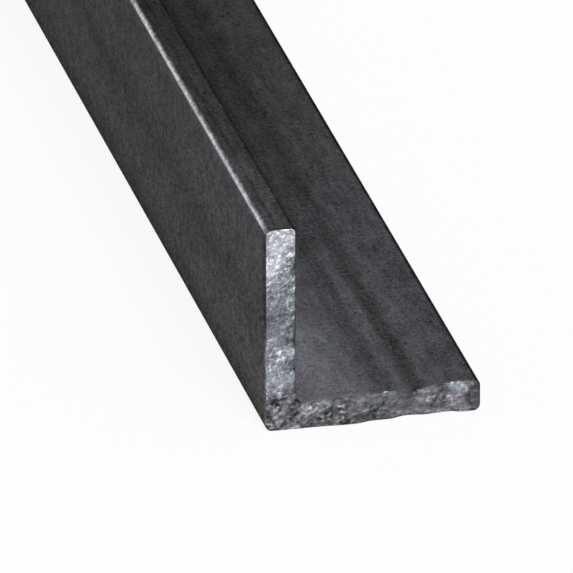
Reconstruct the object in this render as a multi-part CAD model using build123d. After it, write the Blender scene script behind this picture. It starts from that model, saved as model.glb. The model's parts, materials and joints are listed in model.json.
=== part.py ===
from build123d import *

import os

# One length of hot-rolled equal-leg steel angle, cropped square at both ends.
# The section is a single rolled piece: a flange that lies flat, a web that stands
# up from its edge, a tight root fillet between their inner faces, a small round on
# the outer heel, and eased corners on the toe of each leg.
# Millimetres. X runs across the flange from the heel side to the toe side, Y runs
# along the bar, and Z is up. The origin is under the middle of the bar, on the
# plane that the flange rests on.

# Driving dimensions
BAR_LENGTH = 1000.0
LEG = 35.0  # width of each leg, measured over the heel
THICKNESS = 5.0  # of both legs
ROOT_RADIUS = 1.5  # fillet between the two inner faces
HEEL_RADIUS = 1.2  # round on the outer corner of the angle
OUTER_TOE_RADIUS = 1.1  # toe corners on the outer faces
INNER_TOE_RADIUS = 0.6  # toe corners on the inner faces
CROP_EDGE_RADIUS = 0.15  # skin drawn over the edges of a cropped end

# Places worked out from them
HEEL_X = -LEG / 2
TOE_X = HEEL_X + LEG
WEB_INNER_X = HEEL_X + THICKNESS

# The section is drawn with its own two axes, across the flange and up the web.
OUTLINE = {
    (HEEL_X, 0): HEEL_RADIUS,
    (TOE_X, 0): OUTER_TOE_RADIUS,
    (TOE_X, THICKNESS): INNER_TOE_RADIUS,
    (WEB_INNER_X, THICKNESS): ROOT_RADIUS,
    (WEB_INNER_X, LEG): INNER_TOE_RADIUS,
    (HEEL_X, LEG): OUTER_TOE_RADIUS,
}


def angle_section():
    """The rolled cross-section, with its heel at the lower left."""
    section = make_face(Polyline(*OUTLINE, close=True))
    for place, radius in OUTLINE.items():
        corner = section.vertices().sort_by_distance(place)[0]
        section = fillet(corner, radius)
    return section


def angle_bar():
    """The section rolled out to the bar's length, with both cropped ends eased."""
    bar = extrude(Plane.XZ * angle_section(), BAR_LENGTH / 2, both=True)
    cropped_ends = bar.faces().filter_by(Axis.Y)
    bar = fillet(cropped_ends.edges(), CROP_EDGE_RADIUS)
    bar.label = "angle_bar"
    return bar


os.makedirs("parts", exist_ok=True)
export_step(angle_bar(), "parts/angle_bar.step")
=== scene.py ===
"""A length of hot-rolled steel angle with sheared ends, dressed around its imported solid."""

import json
import math

import bmesh
import bpy
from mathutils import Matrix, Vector


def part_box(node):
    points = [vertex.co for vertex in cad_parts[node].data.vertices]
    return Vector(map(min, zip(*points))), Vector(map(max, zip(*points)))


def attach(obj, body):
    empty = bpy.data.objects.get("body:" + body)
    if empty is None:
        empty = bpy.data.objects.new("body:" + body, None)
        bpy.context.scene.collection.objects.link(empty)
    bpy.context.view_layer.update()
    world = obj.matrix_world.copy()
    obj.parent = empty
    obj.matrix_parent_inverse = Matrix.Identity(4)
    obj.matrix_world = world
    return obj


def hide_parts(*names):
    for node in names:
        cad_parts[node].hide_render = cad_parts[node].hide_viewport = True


bl_info = {
    "name": "Steel Angle Bar",
    "version": (1, 0, 0),
    "blender": (4, 5, 0),
    "location": "3D View > Sidebar > Steel Angle",
    "description": "Rolls an equal-leg steel angle, tears its sheared ends and sets it on a pale stage",
    "category": "Add Mesh",
}

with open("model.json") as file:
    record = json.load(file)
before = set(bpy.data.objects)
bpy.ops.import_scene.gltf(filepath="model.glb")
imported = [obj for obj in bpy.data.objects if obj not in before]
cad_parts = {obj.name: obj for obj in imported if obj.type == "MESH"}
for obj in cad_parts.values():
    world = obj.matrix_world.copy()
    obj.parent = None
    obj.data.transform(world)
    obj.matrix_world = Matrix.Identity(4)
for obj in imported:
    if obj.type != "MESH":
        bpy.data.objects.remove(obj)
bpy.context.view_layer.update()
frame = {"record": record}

NODE = "angle_bar"
BODY = "root"
MM = 0.001

BAR_LOW, BAR_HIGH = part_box(NODE)
BAR_SIZE = BAR_HIGH - BAR_LOW
MOUNT_PLACES = {mount["name"]: mount["pos_m"] for mount in frame["record"]["mounts"]}

# What the tearing step notes on the mesh for the mill scale to read: how far a point lay from
# the square end, in metres
FROM_END = "from_end"

# The bar is modelled as a finely gridded end block. Its open back is run out to the bar's middle.
END_BLOCK = 4.0 * MM
GRID = 1.0 * MM
GRID_LEVELS = 3
SAME_PLACE = 0.001 * MM

# Material slots of the bar
SKIN, TORN = 0, 1

# The tear's lumps are drawn out along a line that rises by these angles from heel to toe
FLANGE_SLANT = math.radians(20)
WEB_SLANT = math.radians(42)

# Its fine streaks lie level on the flange and rise a little on the web. Along a streak the
# pattern changes at this share of its pace across it.
FLANGE_STREAK_SLANT = 0.0
WEB_STREAK_SLANT = math.radians(8)
STREAK_SHARE = 0.28

# Along the bar, the tear's patterns change at this share of their pace across it
DEPTH_SHARE = 0.02

# Heights in thicknesses: up to the first the tear has the flange's patterns alone, and from the
# second on the web's
FLANGE_ALONE = 0.9
WEB_ALONE = 2.2

# Points within this distance of the square end belong to the torn face
FACE_DEPTH = 0.02 * MM

# The rounding of a corner fades out this many radii away from it
ROUND_REACH = 3.5

# Finishes: how strongly each reflects at its surface, how rough and how metallic it is, and
# how deep its grain stands
SCALE_SPECULAR = 0.012
SCALE_ROUGHNESS = 0.6
SCALE_GRAIN = 0.15 * MM
RUBBED_ROUGHNESS = 0.36
TORN_METALLIC = 0.85
TORN_ROUGHNESS = 0.4
TORN_GRAIN = 0.1 * MM
FLOOR_ROUGHNESS = 0.9

# Colours at a tone of 1. The torn steel's are for the flange's dark places, for its light places
# with the web, and for all that is brightest.
GREY_SCALE = (1.0, 1.0, 0.996)
VIOLET_SCALE = (0.995, 0.98, 1.13)
TEAL_SCALE = (0.93, 1.0, 1.07)
# The rubbed steel's colour is also that of the painted highlight along the web's outer toe.
RUBBED_HIGHLIGHT_STEEL = (0.96, 0.96, 1.0)
CHIPPED_STEEL = (0.96, 0.98, 1.05)
DARK_TEAR = (1.01, 1.0, 1.09)
LIGHT_TEAR = (0.935, 1.0, 1.12)
BRIGHT_TEAR = (0.965, 1.0, 1.065)

# Tones, as the eye judges them, of the two kinds of bare steel beside the scale
# The rubbed tone is set bright, so that it paints the highlight along the web's outer toe.
RUBBED_HIGHLIGHT_TONE = 0.72
CHIPPED_TONE = 0.42

# Power that turns a tone into an amount of light
TONE_POWER = 2.2

# The stage: how far the floor lies under the bar, how far off the lamps stand, and what the
# camera's clipping leaves in view
FLOOR_GAP = 0.02 * MM
LAMP_DISTANCE = 3.0
CLIP_NEAR = 0.1
CLIP_FAR = 60.0

# Folds of the tear in millimetres: the line that each follows, as heights and how far
# across it then is, and its width
CRACKS = (
    (((2.4, 4.7), (3.4, 4.3), (4.6, 4.6), (5.6, 5.5)), 0.7),
    (((2.8, 0.5), (3.8, 1.0), (4.8, 1.7), (5.6, 1.2)), 0.7),
    (((1.4, 16.9), (2.2, 18.2), (3.0, 19.0), (4.2, 19.4)), 0.6),
    (((3.0, 23.2), (3.8, 23.8), (5.3, 25.0)), 1.3),
)

# Broad lighter and darker places of the tear in millimetres: how far across and how high,
# the reach either way, and the change of tone. They can be left out, as an empty tuple.
PATCHES = (
    (4.5, 29.2, 1.8, 2.8, -0.20),
    (2.4, 31.5, 1.8, 1.4, 0.13),
    (4.2, 34.3, 1.6, 0.9, -0.2),
    (1.7, 30.0, 1.3, 0.8, 0.10),
    (1.8, 27.0, 2.4, 1.0, -0.12),
    (1.4, 17.2, 1.1, 0.9, 0.07),
    (4.5, 22.6, 1.0, 1.6, -0.12),
    (4.4, 15.2, 1.3, 1.0, -0.20),
    (4.0, 11.5, 1.6, 1.6, -0.16),
    (3.0, 8.6, 2.4, 1.0, 0.10),
    (4.4, 7.1, 0.8, 0.8, 0.13),
    (1.5, 5.6, 2.0, 1.4, -0.20),
    (0.4, 1.6, 1.2, 2.0, -0.17),
    (1.6, 4.3, 1.0, 0.8, -0.13),
    (2.9, 3.2, 0.9, 0.7, 0.14),
    (3.9, 4.9, 1.3, 1.3, 0.17),
    (9.2, 2.0, 1.2, 1.0, -0.14),
    (11.6, 3.9, 0.8, 0.8, 0.11),
    (12.8, 0.7, 1.1, 0.9, -0.32),
    (14.0, 2.6, 1.0, 0.9, 0.12),
    (15.5, 4.2, 1.0, 1.0, 0.17),
    (17.1, 1.5, 1.5, 1.4, -0.18),
    (20.8, 4.2, 1.0, 0.8, 0.08),
    (23.6, 1.8, 1.6, 1.8, -0.12),
    (26.0, 2.6, 1.6, 0.9, 0.10),
    (25.1, 4.6, 1.1, 0.8, -0.11),
    (28.5, 1.5, 2.0, 1.5, -0.15),
    (28.8, 4.9, 1.1, 1.0, -0.18),
    (31.2, 4.5, 1.5, 1.2, 0.24),
    (32.0, 1.1, 1.3, 1.2, 0.17),
    (34.4, 4.2, 1.2, 1.6, -0.12),
)

# Curves over the section: places in millimetres, across the flange or up the web, and heights
# from 0 to 1. The first two are the sheared end's wander at the flange's upper face and at its
# underside, where 0.5 is square with the bar.
UPPER_WANDER = (
    (0, 0.5), (5, 0.72), (6.7, 0.9), (11.6, 0.73), (17.4, 0.46),
    (22.3, 0.5), (27.2, 0.25), (32, 0.05), (35, 0.4),
)
LOWER_WANDER = (
    (0, 0.5), (9, 0.6), (14.2, 0.74), (17.5, 0.5), (20, 0.5),
    (23.4, 0.2), (26.3, 0.34), (29.8, 0.24), (32.5, 0.54), (35, 0.5),
)

# How boldly the tear's small grains stand out
FLANGE_LIVELINESS = ((0, 0.72), (11.5, 0.74), (14.5, 0.36), (26, 0.34), (28, 0.4), (35, 0.34))
WEB_LIVELINESS = ((0, 0.85), (12.5, 0.78), (16, 0.52), (22, 0.58), (25, 0.76), (35, 0.74))

# Tones of the mill scale: the flange near its ends and further in, the web, and its top
FLANGE_SCALE_NEAR = (
    (0, 0.2), (4, 0.287), (7, 0.365), (10, 0.39), (13, 0.374), (16.2, 0.333), (18.3, 0.278),
    (20, 0.256), (22.2, 0.309), (24.5, 0.227), (27, 0.29), (31, 0.27), (35, 0.262),
)
FLANGE_SCALE_FAR = (
    (0, 0.2), (4, 0.287), (7, 0.365), (10, 0.385), (13, 0.36), (16.2, 0.31), (18.3, 0.258),
    (20, 0.237), (22.2, 0.27), (24.5, 0.246), (27, 0.28), (29.5, 0.272), (32.5, 0.287), (35, 0.275),
)
# The web's curve begins dark on the heel round, as painted shade.
WEB_SCALE = (
    (0, 0.1), (1.2, 0.22), (3.5, 0.286), (7.5, 0.317), (11, 0.307), (14.5, 0.29), (17.7, 0.264),
    (21, 0.291), (25, 0.302), (29, 0.302), (32, 0.298), (34, 0.335), (35, 0.34),
)
# The top's curve ends dark at the web's inner toe, as painted shade.
TOP_SCALE = (
    (0, 0.28), (1.1, 0.25), (1.6, 0.245), (1.95, 0.213), (2.3, 0.255),
    (3.5, 0.243), (4.1, 0.233), (4.45, 0.145), (5, 0.11),
)

# Tones of the torn steel, along bands that slant across the legs
WEB_TEAR = (
    (0, 0.4), (3, 0.42), (5.5, 0.43), (8, 0.55), (13, 0.62), (16, 0.52),
    (19, 0.47), (22, 0.51), (25.5, 0.59), (29, 0.75), (33, 0.77), (36, 0.72),
)
FLANGE_TEAR = (
    (-3, 0.36), (3.9, 0.42), (4.7, 0.3), (5.5, 0.44), (7.5, 0.48), (9.5, 0.4), (13, 0.4), (15.5, 0.43),
    (17.5, 0.36), (20.5, 0.35), (22.5, 0.42), (25, 0.46), (28, 0.38), (31, 0.53), (33.5, 0.41),
    (38, 0.38),
)


# ---------------------------------------------------------------- settings


class AngleBarSizes(bpy.types.PropertyGroup):
    """Sizes of the rolled section and of its torn ends."""

    length: bpy.props.FloatProperty(
        name="Length", description="Length of the bar", default=BAR_SIZE.y, unit="LENGTH"
    )
    leg: bpy.props.FloatProperty(
        name="Leg", description="Width of each leg over the heel", default=BAR_SIZE.x, unit="LENGTH"
    )
    thickness: bpy.props.FloatProperty(
        name="Thickness",
        description="Thickness of both legs",
        default=MOUNT_PLACES["flange_top"][2] - MOUNT_PLACES["flange_underside"][2],
        unit="LENGTH",
    )
    heel_radius: bpy.props.FloatProperty(
        name="Heel Radius", description="Round on the outer corner", default=1.2 * MM, unit="LENGTH"
    )
    root_radius: bpy.props.FloatProperty(
        name="Root Radius", description="Fillet between the inner faces", default=1.5 * MM, unit="LENGTH"
    )
    outer_toe_radius: bpy.props.FloatProperty(
        name="Outer Toe Radius", description="Toe corners on the outer faces", default=1.1 * MM, unit="LENGTH"
    )
    inner_toe_radius: bpy.props.FloatProperty(
        name="Inner Toe Radius", description="Toe corners on the inner faces", default=0.6 * MM, unit="LENGTH"
    )
    rim: bpy.props.FloatProperty(
        name="Rim", description="Skin drawn over the edge of a sheared end", default=0.15 * MM, unit="LENGTH"
    )
    tear: bpy.props.FloatProperty(
        name="Tear Depth", description="Height of the torn relief", default=0.35 * MM, unit="LENGTH"
    )
    wave: bpy.props.FloatProperty(
        name="End Wave",
        description="How far the sheared ends wander from square",
        default=1.1 * MM,
        unit="LENGTH",
    )


class StageSettings(bpy.types.PropertyGroup):
    """The floor, the lamps and the camera."""

    floor_size: bpy.props.FloatProperty(
        name="Floor Size", description="Side of the square floor", default=40.0, unit="LENGTH"
    )
    floor_colour: bpy.props.FloatVectorProperty(
        name="Floor", description="Colour of the pale floor", default=(0.8, 0.8, 0.8), subtype="COLOR"
    )
    backdrop: bpy.props.FloatProperty(
        name="Backdrop",
        description="How much of plain white the floor shows, in place of the light on it",
        default=0.92,
        subtype="FACTOR",
    )
    sky: bpy.props.FloatProperty(
        name="Sky", description="Strength of the even light all round", default=0.4
    )
    key: bpy.props.FloatProperty(
        name="Key Lamp", description="Strength of the soft lamp in front and above", default=2.4
    )
    rim_light: bpy.props.FloatProperty(
        name="Rim Lamp", description="Strength of the faint low lamp behind and to the left", default=0.18
    )
    camera_azimuth: bpy.props.FloatProperty(
        name="Camera Azimuth",
        description="Turn of the camera round the bar",
        default=math.radians(-13.58),
        subtype="ANGLE",
    )
    camera_elevation: bpy.props.FloatProperty(
        name="Camera Elevation",
        description="Height of the camera above the horizon",
        default=math.radians(24.85),
        subtype="ANGLE",
    )
    camera_distance: bpy.props.FloatProperty(
        name="Camera Distance", description="From the near end's heel", default=3.067, unit="LENGTH"
    )
    picture_width: bpy.props.FloatProperty(
        name="Picture Width",
        description="Width of the view at the near end's heel",
        default=90.4 * MM,
        unit="LENGTH",
    )
    heel_left: bpy.props.FloatProperty(
        name="Heel Left",
        description="How far the near heel lies left of the view's middle",
        default=3.36 * MM,
        unit="LENGTH",
    )
    heel_down: bpy.props.FloatProperty(
        name="Heel Down",
        description="How far the near heel lies below the view's middle",
        default=22.97 * MM,
        unit="LENGTH",
    )


# ---------------------------------------------------------------- modelling by hand


def start_edit(select_mode):
    """Edit mode on the active object, with nothing selected."""
    bpy.ops.object.mode_set(mode="EDIT")
    bpy.ops.mesh.select_mode(type=select_mode)
    bpy.ops.mesh.select_all(action="DESELECT")


def middle_of(element):
    """The place of a vertex, or the middle of an edge or a face."""
    if isinstance(element, bmesh.types.BMVert):
        return element.co
    return sum((vertex.co for vertex in element.verts), Vector()) / len(element.verts)


def pick(kind, wanted):
    """In edit mode, selects only the elements of a kind that the test wants."""
    bpy.ops.mesh.select_all(action="DESELECT")
    mesh = bpy.context.object.data
    edited = bmesh.from_edit_mesh(mesh)
    chosen = [element for element in getattr(edited, kind) if wanted(element)]
    if not chosen:
        raise RuntimeError(f"no {kind} found to work on")
    for element in chosen:
        element.select_set(True)
    bmesh.update_edit_mesh(mesh)


def lies_at(element, x=None, y=None, z=None):
    """True where the element's middle has the coordinates that are given."""
    place = middle_of(element)
    return all(
        wanted is None or abs(found - wanted) < SAME_PLACE
        for found, wanted in zip(place, (x, y, z))
    )


def extrude_by(offset):
    """Extrudes what is selected by an offset in metres."""
    bpy.ops.mesh.extrude_region_move(TRANSFORM_OT_translate={"value": offset})


def cut(place, normal):
    """Cuts the whole mesh along a plane."""
    bpy.ops.mesh.select_all(action="SELECT")
    bpy.ops.mesh.bisect(plane_co=place, plane_no=normal, threshold=SAME_PLACE * 0.1)


def apply_modifier(piece, name, kind, **settings):
    """Adds a modifier and applies it at once."""
    modifier = piece.modifiers.new(name, kind)
    for setting, value in settings.items():
        setattr(modifier, setting, value)
    bpy.ops.object.modifier_apply(modifier=modifier.name)


def section_corners(sizes):
    """Each corner of the section: its x and z, which way its round bulges, and its radius."""
    heel_x = -sizes.leg / 2
    inner_x = heel_x + sizes.thickness
    toe_x = heel_x + sizes.leg
    return (
        (heel_x, 0.0, -1, -1, sizes.heel_radius),
        (toe_x, 0.0, 1, -1, sizes.outer_toe_radius),
        (toe_x, sizes.thickness, 1, 1, sizes.inner_toe_radius),
        (inner_x, sizes.thickness, -1, -1, sizes.root_radius),
        (inner_x, sizes.leg, 1, 1, sizes.inner_toe_radius),
        (heel_x, sizes.leg, -1, 1, sizes.outer_toe_radius),
    )


def draw_section(sizes):
    """The L of the section as one flat face at the near end, with its six corners chamfered."""
    leg, thickness = sizes.leg, sizes.thickness
    heel_x = -leg / 2
    bpy.ops.mesh.primitive_plane_add(
        size=thickness,
        location=(heel_x + thickness / 2, sizes.rim - sizes.length / 2, thickness / 2),
        rotation=(math.radians(90), 0, 0),
    )
    bpy.ops.object.transform_apply()
    start_edit("EDGE")
    pick("edges", lambda edge: lies_at(edge, x=heel_x + thickness))
    extrude_by((leg - thickness, 0, 0))
    pick("edges", lambda edge: lies_at(edge, x=heel_x + thickness / 2, z=thickness))
    extrude_by((0, 0, leg - thickness))
    pick("edges", lambda edge: not edge.is_boundary)
    bpy.ops.mesh.dissolve_edges(use_verts=False)
    bpy.ops.mesh.select_mode(type="VERT")
    for x, z, _, _, radius in section_corners(sizes):
        pick("verts", lambda vertex: lies_at(vertex, x=x, z=z))
        bpy.ops.mesh.bevel(offset=radius, segments=1, affect="VERTICES")


def block_out_end(sizes):
    """The near end as a short, finely gridded block, with a rim turned in round its torn face."""
    bpy.ops.mesh.select_mode(type="FACE")
    bpy.ops.mesh.select_all(action="SELECT")
    bpy.ops.mesh.inset(thickness=sizes.rim, depth=sizes.rim)
    bpy.ops.object.material_slot_add()
    bpy.ops.object.material_slot_add()
    bpy.context.object.active_material_index = TORN
    bpy.ops.object.material_slot_assign()
    bpy.ops.mesh.select_mode(type="EDGE")
    pick("edges", lambda edge: edge.is_boundary)
    extrude_by((0, END_BLOCK, 0))
    steps = round(sizes.leg / GRID)
    for step in range(1, steps):
        along = step * sizes.leg / steps
        cut((along - sizes.leg / 2, 0, 0), (1, 0, 0))
        cut((0, 0, along), (0, 0, 1))
    bpy.ops.object.mode_set(mode="OBJECT")
    bar = bpy.context.object
    apply_modifier(
        bar,
        "fine grid",
        "SUBSURF",
        subdivision_type="SIMPLE",
        levels=GRID_LEVELS,
        render_levels=GRID_LEVELS,
    )
    apply_modifier(bar, "true rounds", "NODES", node_group=rounding_tree(sizes))
    start_edit("EDGE")
    pick("edges", lambda edge: len({face.material_index for face in edge.link_faces}) > 1)
    bpy.ops.mesh.mark_sharp()
    bpy.ops.object.mode_set(mode="OBJECT")


def run_out_bar(sizes):
    """Runs the end block's open back out to the bar's middle and mirrors it into the far half."""
    start_edit("EDGE")
    pick("edges", lambda edge: edge.is_boundary)
    extrude_by((0, sizes.length / 2 - END_BLOCK - sizes.rim, 0))
    bpy.ops.object.mode_set(mode="OBJECT")
    apply_modifier(
        bpy.context.object,
        "far half",
        "MIRROR",
        use_axis=(False, True, False),
        merge_threshold=SAME_PLACE,
    )


# ---------------------------------------------------------------- node patterns


class NodeBoard:
    """Adds nodes to a tree and joins them, so that a pattern reads as a list of steps."""

    def __init__(self, tree):
        self.tree = tree

    def feed(self, socket, value):
        """Joins a socket to another, or sets its own value."""
        if isinstance(value, bpy.types.NodeSocket):
            self.tree.links.new(value, socket)
        else:
            socket.default_value = value

    def add(self, kind, inputs=None, **settings):
        """A node with its settings, and with its inputs given by name or number."""
        node = self.tree.nodes.new(kind)
        for name, value in settings.items():
            setattr(node, name, value)
        for key, value in (inputs or {}).items():
            self.feed(node.inputs[key], value)
        return node

    def math(self, operation, *values):
        """One step of arithmetic."""
        return self.add("ShaderNodeMath", dict(enumerate(values)), operation=operation).outputs[0]

    def plus(self, *values):
        """The sum of numbers."""
        total = values[0]
        for value in values[1:]:
            total = self.math("ADD", total, value)
        return total

    def times(self, *values):
        """The product of numbers."""
        product = values[0]
        for value in values[1:]:
            product = self.math("MULTIPLY", product, value)
        return product

    def parts(self, vector):
        """The X, Y and Z of a vector."""
        return self.add("ShaderNodeSeparateXYZ", {0: vector}).outputs

    def join(self, x, y, z):
        """A vector from three numbers."""
        return self.add("ShaderNodeCombineXYZ", {0: x, 1: y, 2: z}).outputs[0]

    def stretch(self, place, scale, turn=0.0, axis="Y_AXIS"):
        """The place turned about an axis and then scaled, which slants and draws out a pattern."""
        if turn:
            place = self.add(
                "ShaderNodeVectorRotate", {"Vector": place, "Angle": turn}, rotation_type=axis
            ).outputs[0]
        return self.add("ShaderNodeVectorMath", {0: place, 1: scale}, operation="MULTIPLY").outputs[0]

    def noise(self, place, grain, detail=1.0, roughness=0.5, distortion=0.0):
        """Soft noise in lumps about a grain wide, from about -0.5 to 0.5."""
        inputs = {"Vector": place, "Scale": 1 / grain, "Detail": detail}
        inputs.update({"Roughness": roughness, "Distortion": distortion})
        return self.math("SUBTRACT", self.add("ShaderNodeTexNoise", inputs).outputs[0], 0.5)

    def cells(self, place, width, wander):
        """Soft-edged cells with wandering borders, each at a height of its own from -0.5 to 0.5."""
        drift = {"Vector": place, "Scale": 0.25 / width, "Detail": 2.0}
        drift = self.add("ShaderNodeTexNoise", drift).outputs["Color"]
        drift = self.add("ShaderNodeVectorMath", {0: drift, "Scale": wander}, operation="SCALE").outputs[0]
        place = self.add("ShaderNodeVectorMath", {0: place, 1: drift}, operation="ADD").outputs[0]
        inputs = {"Vector": place, "Scale": 1 / width, "Smoothness": 0.5}
        node = self.add("ShaderNodeTexVoronoi", inputs, feature="SMOOTH_F1")
        return self.math("SUBTRACT", self.parts(node.outputs["Color"])[0], 0.5)

    def rise(self, value, low, high, start=0.0, end=1.0):
        """Goes smoothly from start to end as the value goes from low to high."""
        inputs = {"Value": value, "From Min": low, "From Max": high, "To Min": start, "To Max": end}
        return self.add("ShaderNodeMapRange", inputs, interpolation_type="SMOOTHSTEP").outputs[0]

    def drawn(self, value, points):
        """A line drawn through points (place, height): places in millimetres, heights from 0 to 1."""
        low, high = points[0][0], points[-1][0]
        share = self.add(
            "ShaderNodeMapRange", {"Value": value, "From Min": low * MM, "From Max": high * MM}
        ).outputs[0]
        node = self.add("ShaderNodeFloatCurve", {"Value": share})
        line = node.mapping.curves[0]
        while len(line.points) < len(points):
            line.points.new(0.5, 0.5)
        for point, (place, height) in zip(line.points, points):
            point.location = ((place - low) / (high - low), height)
        node.mapping.update()
        return node.outputs[0]

    def mix(self, share, first, second):
        """Goes from the first number to the second with the share."""
        return self.add("ShaderNodeMix", {0: share, 2: first, 3: second}).outputs[0]

    def tint(self, share, first, second):
        """Goes from the first colour to the second with the share."""
        colours = [(*colour, 1) if isinstance(colour, tuple) else colour for colour in (first, second)]
        inputs = {0: share, 6: colours[0], 7: colours[1]}
        return self.add("ShaderNodeMix", inputs, data_type="RGBA").outputs[2]

    def shaded(self, colour, tone):
        """The colour at a tone between 0, black, and 1, white, as the eye judges it."""
        depth = self.math("POWER", tone, TONE_POWER)
        return self.add("ShaderNodeVectorMath", {0: colour, "Scale": depth}, operation="SCALE").outputs[0]

    def bump(self, height, depth, over=None):
        """A bumped normal, whose hills of height 1 stand a depth proud."""
        inputs = {"Height": height, "Distance": depth, "Strength": 1.0}
        if over is not None:
            inputs["Normal"] = over
        return self.add("ShaderNodeBump", inputs).outputs[0]


def new_geometry_tree(name):
    """An empty geometry node tree: its board, the mesh that comes in, and where points are."""
    tree = bpy.data.node_groups.new(name, "GeometryNodeTree")
    tree.interface.new_socket("Geometry", in_out="INPUT", socket_type="NodeSocketGeometry")
    tree.interface.new_socket("Geometry", in_out="OUTPUT", socket_type="NodeSocketGeometry")
    board = NodeBoard(tree)
    mesh = board.add("NodeGroupInput").outputs[0]
    place = board.add("GeometryNodeInputPosition").outputs[0]
    return board, mesh, place


def move_points(board, mesh, offset):
    """Ends a geometry node tree by moving the mesh's points."""
    moved = board.add("GeometryNodeSetPosition", {"Geometry": mesh, "Offset": offset}).outputs[0]
    board.add("NodeGroupOutput", {0: moved})
    return board.tree


def rounding_tree(sizes):
    """Geometry nodes that blow the chamfered corners of the section out into true rounds."""
    board, mesh, place = new_geometry_tree("round_corners")
    x, _, z = board.parts(place)
    shift_x = shift_z = 0.0
    for corner_x, corner_z, out_x, out_z, radius in section_corners(sizes):
        arm_x = board.math("SUBTRACT", x, corner_x - out_x * radius)
        arm_x = board.math("MAXIMUM", board.times(arm_x, out_x), 0.0)
        arm_z = board.math("SUBTRACT", z, corner_z - out_z * radius)
        arm_z = board.math("MAXIMUM", board.times(arm_z, out_z), 0.0)
        arms = board.plus(arm_x, arm_z)
        squares = board.plus(board.times(arm_x, arm_x), board.times(arm_z, arm_z))
        reach = board.math("SQRT", squares)
        growth = board.math("SUBTRACT", board.math("DIVIDE", arms, reach), 1.0)
        growth = board.times(growth, board.rise(arms, radius, ROUND_REACH * radius, 1.0, 0.0))
        shift_x = board.plus(shift_x, board.times(growth, arm_x, out_x))
        shift_z = board.plus(shift_z, board.times(growth, arm_z, out_z))
    return move_points(board, mesh, board.join(shift_x, 0.0, shift_z))


def end_wave(board, sizes, across, z):
    """How far the sheared end stands out of square, in metres towards the near end."""
    upper = board.drawn(across, UPPER_WANDER)
    lower = board.drawn(across, LOWER_WANDER)
    share = board.add("ShaderNodeMapRange", {"Value": z, "From Max": sizes.thickness}).outputs[0]
    wave = board.math("SUBTRACT", board.mix(share, lower, upper), 0.5)
    return board.times(wave, board.rise(z, sizes.thickness, 2 * sizes.thickness, 1.0, 0.0), 2 * sizes.wave)


def on_end(board, place):
    """Places on the end face, where depth along the bar hardly counts, for the tear's patterns."""
    return board.stretch(place, (1.0, DEPTH_SHARE, 1.0))


def slanted(board, place, slant, share):
    """Places on the end face, turned by a slant and drawn out along it."""
    return board.stretch(on_end(board, place), (share, 1.0, 1.0), slant)


def by_height(board, sizes, z, low, high):
    """Goes from a pattern of the flange to one of the web."""
    on_web = board.rise(z, FLANGE_ALONE * sizes.thickness, WEB_ALONE * sizes.thickness)
    return board.mix(on_web, low, high)


def knobs(board, sizes, place, across, z):
    """Small broken grains of torn steel, which lie flat along the flange and slant up the web."""
    low_place = slanted(board, place, FLANGE_SLANT, 0.8)
    low = board.times(board.cells(low_place, 0.48 * MM, 1.5 * MM), 0.35)
    low = board.plus(low, board.noise(low_place, 1.5 * MM, 2.0, 0.55, 0.4))
    streak_place = slanted(board, place, FLANGE_STREAK_SLANT, STREAK_SHARE)
    streaks = board.noise(streak_place, 0.75 * MM, 2.0, 0.6)
    streaks = board.times(streaks, board.rise(across, 9 * MM, 14 * MM, 0.25, 1.0), 1.3)
    low = board.plus(low, streaks)
    high_place = slanted(board, place, WEB_SLANT, 0.8)
    high = board.times(board.cells(high_place, 0.35 * MM, 0.9 * MM), 0.4)
    high = board.plus(high, board.noise(high_place, 1.6 * MM, 3.0, 0.65, 0.4))
    streak_place = slanted(board, place, WEB_STREAK_SLANT, STREAK_SHARE)
    streaks = board.noise(streak_place, 0.8 * MM, 2.0, 0.6)
    streaks = board.times(streaks, board.rise(z, 18 * MM, 25 * MM, 1.0, 0.3), 0.9)
    high = board.plus(high, streaks)
    return by_height(board, sizes, z, low, high)


def liveliness(board, sizes, across, z):
    """How boldly the small grains stand out, from 0 to 1, along the two legs."""
    flange = board.drawn(across, FLANGE_LIVELINESS)
    web = board.drawn(z, WEB_LIVELINESS)
    return by_height(board, sizes, z, flange, web)


def lumps(board, sizes, place, z):
    """Larger lumps of the tear."""
    low = board.noise(slanted(board, place, FLANGE_SLANT, 0.6), 3.4 * MM, 1.0)
    high = board.noise(slanted(board, place, WEB_SLANT, 0.6), 2.8 * MM, 1.0)
    high = board.times(high, board.rise(z, 20 * MM, 26 * MM, 0.55, 1.3))
    return by_height(board, sizes, z, low, high)


def worms(board, place, width, thinness, curl=1.0):
    """Thin curly lines, 1 in their middle, which come and go."""
    line = board.math("ABSOLUTE", board.noise(place, width, 1.0, distortion=curl))
    crest = board.rise(line, 0.0, thinness, 1.0, 0.0)
    return board.times(crest, board.rise(board.noise(place, 2.7 * width, 1.0), -0.05, 0.12))


def inwards(board, sizes, across, z):
    """How far a place of the end face lies inside the section's outline."""
    nearest = board.math("MINIMUM", across, z)
    to_toe = board.math("SUBTRACT", sizes.leg, board.math("MAXIMUM", across, z))
    outer = board.math("MINIMUM", nearest, to_toe)
    inner = board.math("SUBTRACT", sizes.thickness, nearest)
    return board.math("MINIMUM", outer, inner)


def cracks(board, place, across, z):
    """Deep folds of the tear, 1 in their middle, along the lines that CRACKS gives."""
    wandering = board.times(board.noise(on_end(board, place), 1.0 * MM, 2.0), 1.6 * MM)
    depth = 0.0
    for line, width in CRACKS:
        low, high = line[0][0], line[-1][0]
        farthest = max(across_mm for _, across_mm in line)
        shares = [(up, across_mm / farthest) for up, across_mm in line]
        followed = board.times(board.drawn(z, shares), farthest * MM)
        beside = board.math("SUBTRACT", board.plus(across, wandering), followed)
        beside = board.math("ABSOLUTE", beside)
        deep = board.rise(beside, 0.1 * width * MM, width * MM, 1.0, 0.0)
        deep = board.times(deep, board.rise(z, (low - 0.2) * MM, (low + 0.4) * MM))
        deep = board.times(deep, board.rise(z, (high - 0.4) * MM, (high + 0.2) * MM, 1.0, 0.0))
        depth = board.math("MAXIMUM", depth, deep)
    return depth


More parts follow.
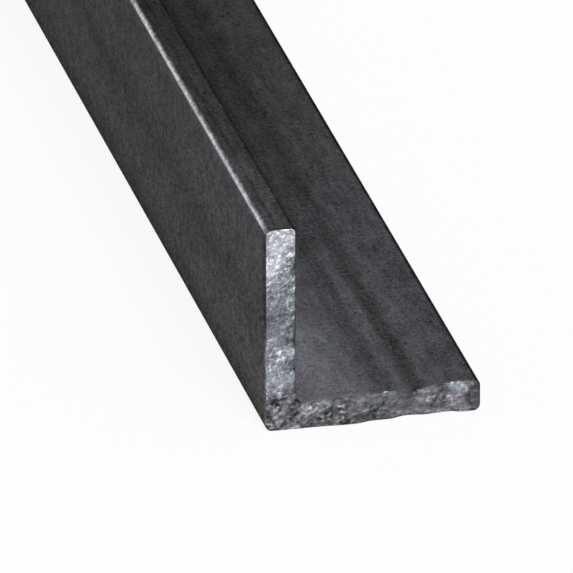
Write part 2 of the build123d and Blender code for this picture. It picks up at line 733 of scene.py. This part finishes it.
def patches(board, place, across, z):
    """The tone that PATCHES adds to the tear, with ragged borders."""
    ragged = board.times(board.noise(on_end(board, place), 1.5 * MM, 2.0), 1.5 * MM)
    across = board.plus(across, ragged)
    z = board.math("SUBTRACT", z, ragged)
    added = 0.0
    for middle_across, middle_z, wide, high, change in PATCHES:
        sideways = board.math("MULTIPLY_ADD", across, 1 / (wide * MM), -middle_across / wide)
        upwards = board.math("MULTIPLY_ADD", z, 1 / (high * MM), -middle_z / high)
        outwards = board.math("MULTIPLY_ADD", upwards, upwards, board.times(sideways, sideways))
        added = board.plus(added, board.rise(outwards, 0.0, 1.4, change, 0.0))
    return added


def torn_relief(board, sizes, place, across, z):
    """Lumps, knobs and cracks of the torn face, mostly between -1 and 1."""
    small = board.times(knobs(board, sizes, place, across, z), liveliness(board, sizes, across, z), 1.5)
    standing = board.plus(board.times(lumps(board, sizes, place, z), 1.9), small)
    curly = worms(board, on_end(board, place), 1.3 * MM, 0.05)
    standing = board.plus(standing, board.times(curly, 0.25))
    return board.math("SUBTRACT", standing, board.times(cracks(board, place, across, z), 0.35))


def tear_tree(sizes):
    """Geometry nodes that tear the sheared ends, and note how far each point lay from the end."""
    board, mesh, place = new_geometry_tree("tear_ends")
    x, y, z = board.parts(place)
    across = board.plus(x, sizes.leg / 2)
    from_end = board.math("SUBTRACT", sizes.length / 2, board.math("ABSOLUTE", y))
    near_end = board.rise(from_end, sizes.rim, sizes.rim + END_BLOCK, 1.0, 0.0)
    on_face = board.rise(from_end, 0.0, FACE_DEPTH, 1.0, 0.0)
    on_face = board.add("GeometryNodeBlurAttribute", {"Value": on_face, "Iterations": 3}).outputs[0]
    on_face = board.rise(on_face, 0.5, 1.0)
    relief = board.times(torn_relief(board, sizes, place, across, z), on_face)

    ragged = board.noise(place, 1.1 * MM, 2.0)
    ragged = board.times(ragged, board.rise(from_end, 0.3 * MM, 1.5 * MM, 1.0, 0.0))
    upper_edge = board.times(
        board.rise(z, 0.5 * sizes.thickness, 0.9 * sizes.thickness, 0.15, 1.0),
        board.rise(z, sizes.thickness, 1.2 * sizes.thickness, 1.0, 0.1),
    )
    push = board.times(end_wave(board, sizes, across, z), near_end)
    push = board.plus(push, board.times(ragged, upper_edge, 0.6 * MM), board.times(relief, sizes.tear))
    mesh = board.add(
        "GeometryNodeStoreNamedAttribute",
        {"Geometry": mesh, "Name": FROM_END, "Value": from_end},
        data_type="FLOAT",
        domain="POINT",
    ).outputs[0]
    return move_points(board, mesh, board.join(0.0, board.times(push, -1.0), 0.0))


# ---------------------------------------------------------------- finishes


def new_material(name, specular=0.5):
    """An empty node material, with its board, its surface shader and the places on the object."""
    material = bpy.data.materials.new(name)
    material.use_nodes = True
    material.node_tree.nodes.clear()
    board = NodeBoard(material.node_tree)
    shader = board.add("ShaderNodeBsdfPrincipled")
    shader.inputs["Specular IOR Level"].default_value = specular
    board.add("ShaderNodeOutputMaterial", {"Surface": shader.outputs[0]})
    place = board.add("ShaderNodeTexCoord").outputs["Object"]
    return material, board, shader, place


def noted(board, name):
    """A number that the tearing step noted on the mesh."""
    return board.add("ShaderNodeAttribute", attribute_name=name).outputs["Fac"]


def varied(board, tone, *patterns):
    """The tone, made lighter and darker by patterns that are each given with their strength."""
    for pattern, strength in patterns:
        tone = board.math("MULTIPLY_ADD", pattern, strength, tone)
    return tone


def rolled_bands_and_edge_shade(board, sizes, across, z, from_end):
    """Bands of lighter and darker scale that the rolls left along the bar, with painted shade on the heel
    round, the toe rounds and below the web's top, as a tone from 0 to 1.
    """
    near = board.drawn(across, FLANGE_SCALE_NEAR)
    far = board.drawn(across, FLANGE_SCALE_FAR)
    flange = board.mix(board.rise(from_end, 40 * MM, 65 * MM), near, far)
    web = board.drawn(z, WEB_SCALE)
    top = board.drawn(across, TOP_SCALE)
    thickness, leg = sizes.thickness, sizes.leg
    # Painted shade: the flange's toe round turns dark.
    toe = board.times(
        board.rise(across, leg - 1 * MM, leg - 0.35 * MM),
        board.rise(z, thickness - 3 * MM, thickness - 0.5 * MM),
    )
    flange = board.mix(toe, flange, 0.1)
    # Painted shade: the web's inner face darkens below its top.
    inner_side = board.rise(z, leg - 2 * MM, leg - 0.6 * MM)
    inner_side = board.times(board.rise(across, 2 * MM, 4 * MM), inner_side)
    on_top = board.math("MAXIMUM", board.rise(z, leg - 0.5 * MM, leg - 0.2 * MM), inner_side)
    upright = board.mix(on_top, web, top)
    on_web = board.math(
        "MAXIMUM",
        board.rise(z, thickness + 0.3 * MM, thickness + 1.6 * MM),
        board.rise(across, 0.3 * MM, 1.2 * MM, 1.0, 0.0),
    )
    on_web = board.times(on_web, board.math("SUBTRACT", 1.0, on_top))
    return board.mix(board.math("MAXIMUM", on_web, on_top), flange, upright), on_web


def painted_light_and_shade_along(board, sizes, across, z, from_end, on_web):
    """Painted light and shade, as a share of the scale's tone: lighter near the ends and darker away from
    them, darker beside the web's root a little way in, and mostly darker close to the ends' edges.
    """
    # Painted light: lighter near the ends, darker along the bar.
    toe_side = board.rise(from_end, 20 * MM, 150 * MM, 1.04, 0.84)
    root_side = board.rise(from_end, 20 * MM, 140 * MM, 1.04, 0.74)
    # Painted shade beside the web's root, from a little way in.
    further_in = board.rise(from_end, 22 * MM, 33 * MM, 1.0, 0.87)
    at_root = board.rise(across, 14 * MM, 19 * MM, further_in, 1.0)
    root_side = board.times(root_side, at_root)
    flange = board.mix(board.rise(across, 23 * MM, 30 * MM), root_side, toe_side)
    # Painted light low on the web near the end.
    low_down = board.rise(z, 12 * MM, 17 * MM, board.rise(from_end, 0.0, 16 * MM, 1.06, 1.0), 1.0)
    web = board.times(board.rise(from_end, 15 * MM, 100 * MM, 1.03, 0.93), low_down)
    # Painted shade on the upper web close to the end's edge, a little lighter below.
    edge = board.rise(from_end, 0.8 * MM, 2.5 * MM, board.rise(z, 17 * MM, 20 * MM, 1.04, 0.81), 1.0)
    web = board.times(web, edge)
    fade = board.mix(on_web, flange, web)
    # Painted shade along the web's top close to the end.
    top_edge_shade = board.rise(z, sizes.leg - 0.5 * MM, sizes.leg - 0.2 * MM, 1.0, 0.85)
    top_edge_shade = board.rise(from_end, 0.2 * MM, 0.8 * MM, top_edge_shade, 1.0)
    return board.times(fade, top_edge_shade)


def scale_grain(board, place, on_web):
    """Places drawn out along the bar, the grain of a lying face, and the grain that a face has."""
    along = board.stretch(place, (1.0, 0.65, 1.0))
    drawn_out = board.stretch(place, (1.0, 0.2, 1.0))
    crosswise = board.stretch(place, (0.5, 1.8, 1.0))
    lying = board.plus(
        board.noise(along, 0.5 * MM, 2.0, 0.9),
        board.times(board.noise(drawn_out, 1.2 * MM, 2.0, 0.7), 0.45),
        board.times(board.noise(crosswise, 0.9 * MM, 2.0, 0.7), 0.25),
    )
    leaning = board.stretch(place, (1.0, 0.22, 1.0), math.radians(23), "X_AXIS")
    dashed = board.stretch(place, (1.0, 0.7, 1.0), math.radians(30), "X_AXIS")
    upright = board.plus(
        board.noise(leaning, 0.4 * MM, 2.0, 0.9),
        board.times(board.noise(dashed, 1.2 * MM, 2.0, 0.7), 0.6),
        board.rise(board.noise(dashed, 1.6 * MM, 1.0), 0.04, 0.16, 0.0, -0.12),
    )
    return along, lying, board.mix(on_web, lying, upright)


def violet_cast(board, sizes, z, from_end, on_web, lightness):
    """Where the scale has a violet cast, from 0 to 1: its light bands, and below the web's toe."""
    violet = board.rise(lightness, 0.235, 0.265)
    violet = board.times(violet, board.rise(from_end, 50 * MM, 120 * MM, 1.0, 0.0))
    under_toe = board.rise(z, sizes.leg - 6 * MM, sizes.leg - 3 * MM)
    under_toe = board.times(under_toe, board.rise(from_end, 0.0, 90 * MM, 1.0, 0.4))
    return board.mix(on_web, violet, under_toe)


def teal_cast(board, along, across, from_end, on_web):
    """Where the flange's scale has a faint teal cast near the ends, in patches, from 0 to 1."""
    beside = board.math("ABSOLUTE", board.math("SUBTRACT", across, 13.5 * MM))
    teal = board.rise(board.noise(along, 4 * MM, 2.0), 0.0, 0.1)
    teal = board.times(teal, board.rise(beside, 3 * MM, 6 * MM, 1.0, 0.0))
    off_web = board.math("SUBTRACT", 1.0, on_web)
    return board.times(teal, board.rise(from_end, 24 * MM, 32 * MM, 1.0, 0.0), off_web)


def rubbed_toe_highlight(board, sizes, across, z, from_end, lying):
    """Where the web's outer toe is rubbed down to bright steel, which also carries a painted highlight, from
    0 to 1.
    """
    below_top = board.math("SUBTRACT", sizes.leg, z)
    towards_side = board.math("SUBTRACT", below_top, across)
    towards_side = board.plus(towards_side, board.times(lying, 0.3 * MM))
    rubbed_highlight = board.times(
        board.rise(towards_side, -0.75 * MM, 0.35 * MM),
        board.rise(towards_side, 0.5 * MM, 1.0 * MM, 1.0, 0.0),
        board.rise(board.plus(across, below_top), 1.2 * MM, 1.4 * MM, 1.0, 0.0),
    )
    return board.times(rubbed_highlight, board.rise(from_end, 0.3 * MM, 4 * MM, 0.4, 1.0))


def chipped_edge(board, place, across, z, from_end, on_web):
    """Where the shear took the scale off along the edge of an end, from 0 to 1."""
    ragged = board.plus(from_end, board.times(board.noise(place, 2.0 * MM, 2.0), 1.6 * MM))
    chips = board.times(
        board.rise(ragged, 0.0, 0.25 * MM, 1.0, 0.0),
        board.rise(from_end, 0.3 * MM, 0.5 * MM, 1.0, 0.0),
        board.rise(on_web, 0.0, 0.5, 1.0, 0.0),
        board.rise(across, 29 * MM, 30.5 * MM),
        board.rise(across, 32.5 * MM, 34 * MM, 1.0, 0.0),
    )
    worn_heel = board.times(
        board.rise(from_end, 0.2 * MM, 0.7 * MM, 1.0, 0.0),
        board.rise(across, 0.3 * MM, 0.8 * MM, 1.0, 0.0),
        board.rise(z, 14 * MM, 18 * MM, 1.0, 0.0),
    )
    return board.math("MAXIMUM", chips, worn_heel)


def mill_scale(sizes):
    """Dark oxide skin of the rolled faces, with painted light and shade, and with the web's outer toe rubbed
    down to bright steel under a painted highlight.
    """
    material, board, shader, place = new_material("mill_scale", specular=SCALE_SPECULAR)
    x, _, z = board.parts(place)
    across = board.plus(x, sizes.leg / 2)
    from_end = noted(board, FROM_END)
    bands, on_web = rolled_bands_and_edge_shade(board, sizes, across, z, from_end)
    along, lying, mottle = scale_grain(board, place, on_web)

    clouds = board.noise(along, 5 * MM, 2.0)
    pits = board.rise(board.noise(along, 0.9 * MM, 1.0), 0.13, 0.24)
    pits = board.times(pits, board.mix(on_web, 1.0, 0.3))
    scratches = worms(board, along, 11 * MM, 0.005, curl=0.2)
    tone = varied(board, bands, (mottle, 0.36), (clouds, 0.065), (pits, -0.05), (scratches, 0.05))
    # Painted light and shade along the bar and at the ends' edges.
    tone = board.times(tone, painted_light_and_shade_along(board, sizes, across, z, from_end, on_web))

    lightness = board.plus(bands, board.times(clouds, 0.06))
    violet = violet_cast(board, sizes, z, from_end, on_web, lightness)
    skin = board.tint(violet, GREY_SCALE, VIOLET_SCALE)
    skin = board.tint(teal_cast(board, along, across, from_end, on_web), skin, TEAL_SCALE)
    skin = board.shaded(skin, tone)
    chipped = chipped_edge(board, place, across, z, from_end, on_web)
    bare = board.shaded(CHIPPED_STEEL, board.plus(CHIPPED_TONE, lying))
    skin = board.tint(chipped, skin, bare)
    # Painted highlight: the rubbed strip on the web's outer toe is drawn in bright steel.
    rubbed_highlight = rubbed_toe_highlight(board, sizes, across, z, from_end, lying)
    rubbed_highlight_colour = board.shaded(RUBBED_HIGHLIGHT_STEEL, board.plus(RUBBED_HIGHLIGHT_TONE, lying))
    colour = board.tint(rubbed_highlight, skin, rubbed_highlight_colour)
    hills = board.times(mottle, board.mix(on_web, 1.0, 0.5))
    board.feed(shader.inputs["Base Color"], colour)
    board.feed(shader.inputs["Metallic"], rubbed_highlight)
    board.feed(shader.inputs["Roughness"], board.mix(rubbed_highlight, SCALE_ROUGHNESS, RUBBED_ROUGHNESS))
    board.feed(shader.inputs["Normal"], board.bump(hills, SCALE_GRAIN))
    return material


def torn_tone(board, sizes, across, z):
    """How bright the torn steel is along the two legs, as a tone from 0 to 1, in slanted bands."""
    off_middle = board.math("SUBTRACT", across, sizes.thickness / 2)
    up_web = board.plus(z, board.times(off_middle, -0.5))
    web = board.drawn(up_web, WEB_TEAR)
    off_middle = board.math("SUBTRACT", z, sizes.thickness / 2)
    along_flange = board.plus(across, board.times(off_middle, -1.2))
    flange = board.drawn(along_flange, FLANGE_TEAR)
    on_web = board.rise(board.math("SUBTRACT", z, across), -1.5 * MM, 2.5 * MM)
    return board.mix(on_web, flange, web)


def border_shade(board, sizes, across, z):
    """How the torn steel darkens at the section's outline, as a share of its tone."""
    left_low = board.times(
        board.rise(across, 0.5 * MM, 1.0 * MM, 1.0, 0.0),
        board.rise(z, 15 * MM, 19 * MM, 1.0, 0.0),
    )
    inside = inwards(board, sizes, across, z)
    all_round = board.rise(inside, 0.05 * MM, 0.45 * MM, board.mix(left_low, 0.8, 1.0), 1.0)
    beside_web = board.math("SUBTRACT", sizes.thickness, across)
    half_way_up = board.times(board.rise(z, 6 * MM, 8 * MM), board.rise(z, 17 * MM, 20 * MM, 1.0, 0.0))
    right = board.rise(beside_web, 0.1 * MM, 0.9 * MM, board.mix(half_way_up, 1.0, 0.72), 1.0)
    return board.times(all_round, right)


def torn_steel(sizes):
    """Bare, knobbly steel of the sheared ends, with painted light and shade that follow its relief, its folds
    and its outline.
    """
    material, board, shader, place = new_material("torn_steel")
    x, _, z = board.parts(place)
    across = board.plus(x, sizes.leg / 2)
    patched = patches(board, place, across, z)
    lumpy = lumps(board, sizes, place, z)
    knobbly = board.times(knobs(board, sizes, place, across, z), liveliness(board, sizes, across, z))
    flat = on_end(board, place)
    grain = board.noise(flat, 0.5 * MM, 2.0)
    # Painted light and shade of the relief: the tone follows the knobs, lumps, worms and grain that shape and
    # bump the face, lighter where they push the near end out and darker in its hollows, with the highest
    # knobs lighter still as painted highlights. At the far end, whose relief is pushed the other way, the
    # lighter tones lie in its hollows.
    lit = board.rise(knobbly, 0.0, 0.25)
    tone = varied(
        board,
        board.plus(torn_tone(board, sizes, across, z), patched),
        (knobbly, 0.8),
        (lit, 0.2),
        (grain, 0.3),
        (lumpy, 0.35),
        (worms(board, flat, 1.3 * MM, 0.05), 0.12),
    )
    # Painted shade in the folds.
    tone = board.times(tone, board.math("MULTIPLY_ADD", cracks(board, place, across, z), -0.3, 1.0))
    tone = board.times(tone, border_shade(board, sizes, across, z))
    blue = board.rise(board.plus(lumpy, patched), -0.05, 0.12)
    blue = board.math("MAXIMUM", blue, board.rise(z, 1.1 * sizes.thickness, 1.6 * sizes.thickness))
    cool = board.tint(blue, DARK_TEAR, LIGHT_TEAR)
    cool = board.tint(board.rise(tone, 0.55, 0.9), cool, BRIGHT_TEAR)
    board.feed(shader.inputs["Base Color"], board.shaded(cool, tone))
    shader.inputs["Metallic"].default_value = TORN_METALLIC
    shader.inputs["Roughness"].default_value = TORN_ROUGHNESS
    board.feed(shader.inputs["Normal"], board.bump(grain, TORN_GRAIN))
    return material


def studio_floor(settings):
    """A pale floor that shows white and keeps the bar's shadow."""
    material, board, shader, _ = new_material("studio_floor", specular=0.0)
    shader.inputs["Base Color"].default_value = (*settings.floor_colour, 1)
    shader.inputs["Roughness"].default_value = FLOOR_ROUGHNESS
    glow = board.add("ShaderNodeEmission", {"Color": (1, 1, 1, 1), "Strength": 1.0})
    paths = board.add("ShaderNodeLightPath").outputs
    seen = board.plus(paths["Is Camera Ray"], paths["Is Glossy Ray"], paths["Is Transmission Ray"])
    share = board.math("MINIMUM", board.times(seen, settings.backdrop), settings.backdrop)
    mixed = board.add("ShaderNodeMixShader", {0: share, 1: shader.outputs[0], 2: glow.outputs[0]})
    output = next(node for node in board.tree.nodes if node.type == "OUTPUT_MATERIAL")
    board.feed(output.inputs["Surface"], mixed.outputs[0])
    return material


# ---------------------------------------------------------------- operators


class STEELANGLE_OT_bar(bpy.types.Operator):
    """Rolls the angle bar, tears its ends and gives it its finishes"""

    bl_idname = "steel_angle.bar"
    bl_label = "Roll Angle Bar"

    def execute(self, context):
        sizes = context.scene.steel_angle_sizes
        bpy.ops.object.select_all(action="DESELECT")
        draw_section(sizes)
        bar = context.object
        bar.name = "rolled_angle"
        block_out_end(sizes)
        run_out_bar(sizes)
        apply_modifier(bar, "torn ends", "NODES", node_group=tear_tree(sizes))
        bar.material_slots[SKIN].material = mill_scale(sizes)
        bar.material_slots[TORN].material = torn_steel(sizes)
        bpy.ops.object.shade_smooth()
        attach(bar, BODY)
        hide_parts(NODE)
        return {"FINISHED"}


def direction(turned, raised):
    """The way from the bar to a lamp or the camera that is turned and raised by these angles."""
    return Vector(
        (
            math.sin(turned) * math.cos(raised),
            -math.cos(turned) * math.cos(raised),
            math.sin(raised),
        )
    )


def add_sun(name, azimuth, elevation, strength, softness):
    """A soft lamp that shines from a direction, in degrees as the camera's are."""
    towards = direction(math.radians(azimuth), math.radians(elevation))
    bpy.ops.object.light_add(type="SUN", location=towards * LAMP_DISTANCE)
    lamp = bpy.context.object
    lamp.name = name
    lamp.rotation_euler = towards.to_track_quat("Z", "Y").to_euler()
    lamp.data.energy = strength
    lamp.data.angle = math.radians(softness)


def add_camera(scene, settings):
    """The camera looks down the bar from its near end, through a long lens."""
    turned = settings.camera_azimuth
    back = direction(turned, settings.camera_elevation)
    right = Vector((math.cos(turned), math.sin(turned), 0))
    up = back.cross(right)
    middle = BAR_LOW + right * settings.heel_left + up * settings.heel_down
    bpy.ops.object.camera_add(location=middle + back * settings.camera_distance)
    camera = bpy.context.object
    camera.name = "camera"
    camera.rotation_euler = back.to_track_quat("Z", "Y").to_euler()
    camera.data.lens = camera.data.sensor_width * settings.camera_distance / settings.picture_width
    camera.data.clip_start = CLIP_NEAR
    camera.data.clip_end = CLIP_FAR
    scene.camera = camera


class STEELANGLE_OT_stage(bpy.types.Operator):
    """Sets the pale floor, the soft lamps and the camera"""

    bl_idname = "steel_angle.stage"
    bl_label = "Set Stage"

    def execute(self, context):
        scene = context.scene
        settings = scene.steel_angle_stage
        bpy.ops.object.select_all(action="DESELECT")
        height = BAR_LOW.z - FLOOR_GAP
        bpy.ops.mesh.primitive_plane_add(size=settings.floor_size, location=(0, 0, height))
        floor = context.object
        floor.name = "floor"
        floor.data.materials.append(studio_floor(settings))

        world = bpy.data.worlds.new("even_sky")
        world.use_nodes = True
        background = world.node_tree.nodes["Background"]
        background.inputs["Color"].default_value = (1, 1, 1, 1)
        background.inputs["Strength"].default_value = settings.sky
        scene.world = world

        add_sun("key", azimuth=15, elevation=52, strength=settings.key, softness=20)
        add_sun("rim", azimuth=-155, elevation=12, strength=settings.rim_light, softness=20)

        add_camera(scene, settings)
        scene.view_settings.view_transform = "Standard"
        return {"FINISHED"}


class STEELANGLE_PT_panel(bpy.types.Panel):
    """Lists the steps in the 3D view's sidebar"""

    bl_idname = "STEELANGLE_PT_panel"
    bl_label = "Steel Angle"
    bl_space_type = "VIEW_3D"
    bl_region_type = "UI"
    bl_category = "Steel Angle"

    def draw(self, context):
        for settings in (context.scene.steel_angle_sizes, context.scene.steel_angle_stage):
            box = self.layout.box()
            for name in settings.__annotations__:
                box.prop(settings, name)
        for operator in (STEELANGLE_OT_bar, STEELANGLE_OT_stage):
            self.layout.operator(operator.bl_idname)


CLASSES = (AngleBarSizes, StageSettings, STEELANGLE_OT_bar, STEELANGLE_OT_stage, STEELANGLE_PT_panel)


def register():
    """Makes the settings, the steps and the panel known to Blender."""
    for made in CLASSES:
        bpy.utils.register_class(made)
    bpy.types.Scene.steel_angle_sizes = bpy.props.PointerProperty(type=AngleBarSizes)
    bpy.types.Scene.steel_angle_stage = bpy.props.PointerProperty(type=StageSettings)


def unregister():
    """Takes them away again."""
    del bpy.types.Scene.steel_angle_stage
    del bpy.types.Scene.steel_angle_sizes
    for made in reversed(CLASSES):
        bpy.utils.unregister_class(made)


def main():
    """Makes the steps known, then builds the bar and then the stage."""
    register()
    bpy.ops.steel_angle.bar()
    bpy.ops.steel_angle.stage()


if __name__ == "__main__":
    main()
